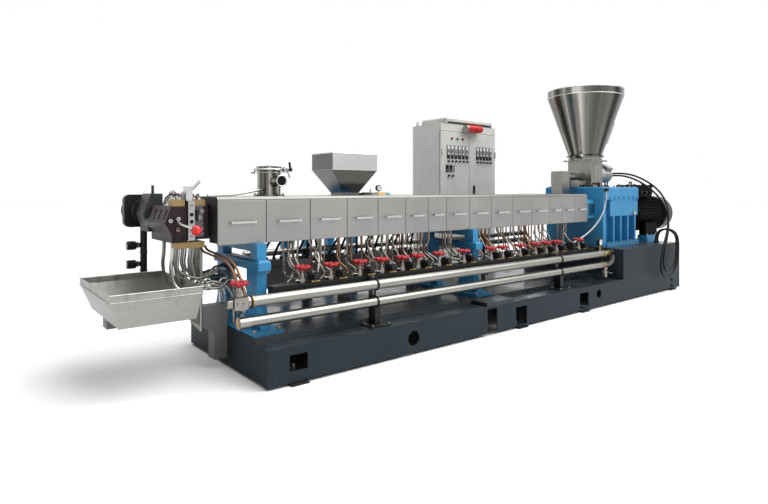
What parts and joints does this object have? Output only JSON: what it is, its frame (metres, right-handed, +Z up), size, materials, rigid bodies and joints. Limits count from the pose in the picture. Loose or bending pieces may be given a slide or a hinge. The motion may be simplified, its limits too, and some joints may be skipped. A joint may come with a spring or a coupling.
{
  "type": "twin-screw compounding extruder",
  "caption": "Parallel twin-screw extruder on a long base with covered barrel, gearbox, motor, feed hoppers, water valves, die, strand tray and control cabinet.",
  "frame": {"origin": "on the floor under the middle of the whole set's footprint", "axes": "+X from the die end to the drive end, +Y to the rear where the cabinet stands, +Z up"},
  "size_m": [7.542, 2.649, 2.6],
  "materials": {
    "base_paint": "satin slate-grey machine paint",
    "blue_paint": "semi-gloss blue machine paint",
    "cover_steel": "satin stainless sheet",
    "pipe_steel": "polished stainless pipe",
    "bright_steel": "bright steel",
    "feeder_steel": "brushed stainless sheet",
    "tray_steel": "satin stainless sheet",
    "barrel_steel": "machined steel",
    "die_steel": "dark heat-browned steel",
    "adaptor_steel": "ground steel",
    "heater_brass": "dull gold heater plate",
    "black_metal": "satin black",
    "dark_grey": "dark grey paint",
    "red_paint": "gloss red enamel",
    "valve_metal": "nickel-plated valve body",
    "solenoid_black": "moulded black coil",
    "copper_tube": "copper and steel tube",
    "cabinet_paint": "fine-textured light grey paint",
    "beacon_red": "clear red lens",
    "motor_black": "black motor paint",
    "cowl_grey": "grey-green paint",
    "motor_silver": "cast aluminium",
    "cable_rubber": "black rubber cable sheath",
    "hose_plastic": "pale plastic hose",
    "foot_zinc": "zinc-plated steel"
  },
  "bodies": {
    "machine": {"base_front_plate": "base_paint", "base_rear_plate": "base_paint", "base_decks": "base_paint", "base_end_plates": "base_paint", "levelling_feet": "foot_zinc", "barrel_supports": "blue_paint", "barrel": "barrel_steel", "cover_panels": "cover_steel", "panel_handles": "bright_steel", "cover_lid": "cover_steel", "cover_frame": "barrel_steel", "die_block": "die_steel", "die_adaptor": "adaptor_steel", "die_heater_plates": "heater_brass", "screen_changer": "dark_grey", "hydraulic_ram": "black_metal", "die_levers": "bright_steel", "strand_tray": "tray_steel", "tray_bracket": "tray_steel", "vent_stack": "pipe_steel", "side_feeder_body": "blue_paint", "side_feeder_stand": "blue_paint", "side_hopper": "feeder_steel", "side_feeder_drives": "black_metal", "cabinet_base": "cabinet_paint", "cabinet_roof": "cabinet_paint", "cabinet_sides": "cabinet_paint", "cabinet_top": "cabinet_paint", "beacon_base": "cabinet_paint", "cabinet_beacon": "beacon_red", "gearbox_housing": "blue_paint", "gearbox_cover": "blue_paint", "lantern_housing": "blue_paint", "lantern_guards": "blue_paint", "coupling_bell": "motor_black", "motor_body": "motor_black", "motor_rails": "blue_paint", "fan_cowl": "cowl_grey", "terminal_box": "motor_black", "feeder_throat": "feeder_steel", "feeder_hopper": "feeder_steel", "feed_chute": "feeder_steel", "feeder_gear_motor": "motor_silver", "water_pipes": "pipe_steel", "pipe_stands": "black_metal", "valve_trunk": "black_metal", "solenoid_valves": "solenoid_black", "riser_tubes": "copper_tube", "water_valves": "valve_metal", "valve_handwheels": "red_paint", "rear_cable_trunk": "dark_grey", "die_clamp_bar": "adaptor_steel", "lever_ball": "red_paint", "lifting_eyes": "black_metal", "feeder_cable_front": "cable_rubber", "feeder_cable_rear": "cable_rubber", "gearbox_hose": "hose_plastic", "cord_fittings": "dark_grey"},
    "door_left": {"cabinet_door_left": "cabinet_paint"},
    "door_right": {"cabinet_door_right": "cabinet_paint"}
  },
  "joints": [
    {"name": "left_door_hinge", "type": "hinge", "parent": "machine", "child": "door_left", "pos_m": [0.699, 0.732, 1.1], "axis": [0, 0, -1], "range_deg": [0, 110]},
    {"name": "right_door_hinge", "type": "hinge", "parent": "machine", "child": "door_right", "pos_m": [1.788, 0.732, 1.1], "axis": [0, 0, 1], "range_deg": [0, 110]}
  ]
}
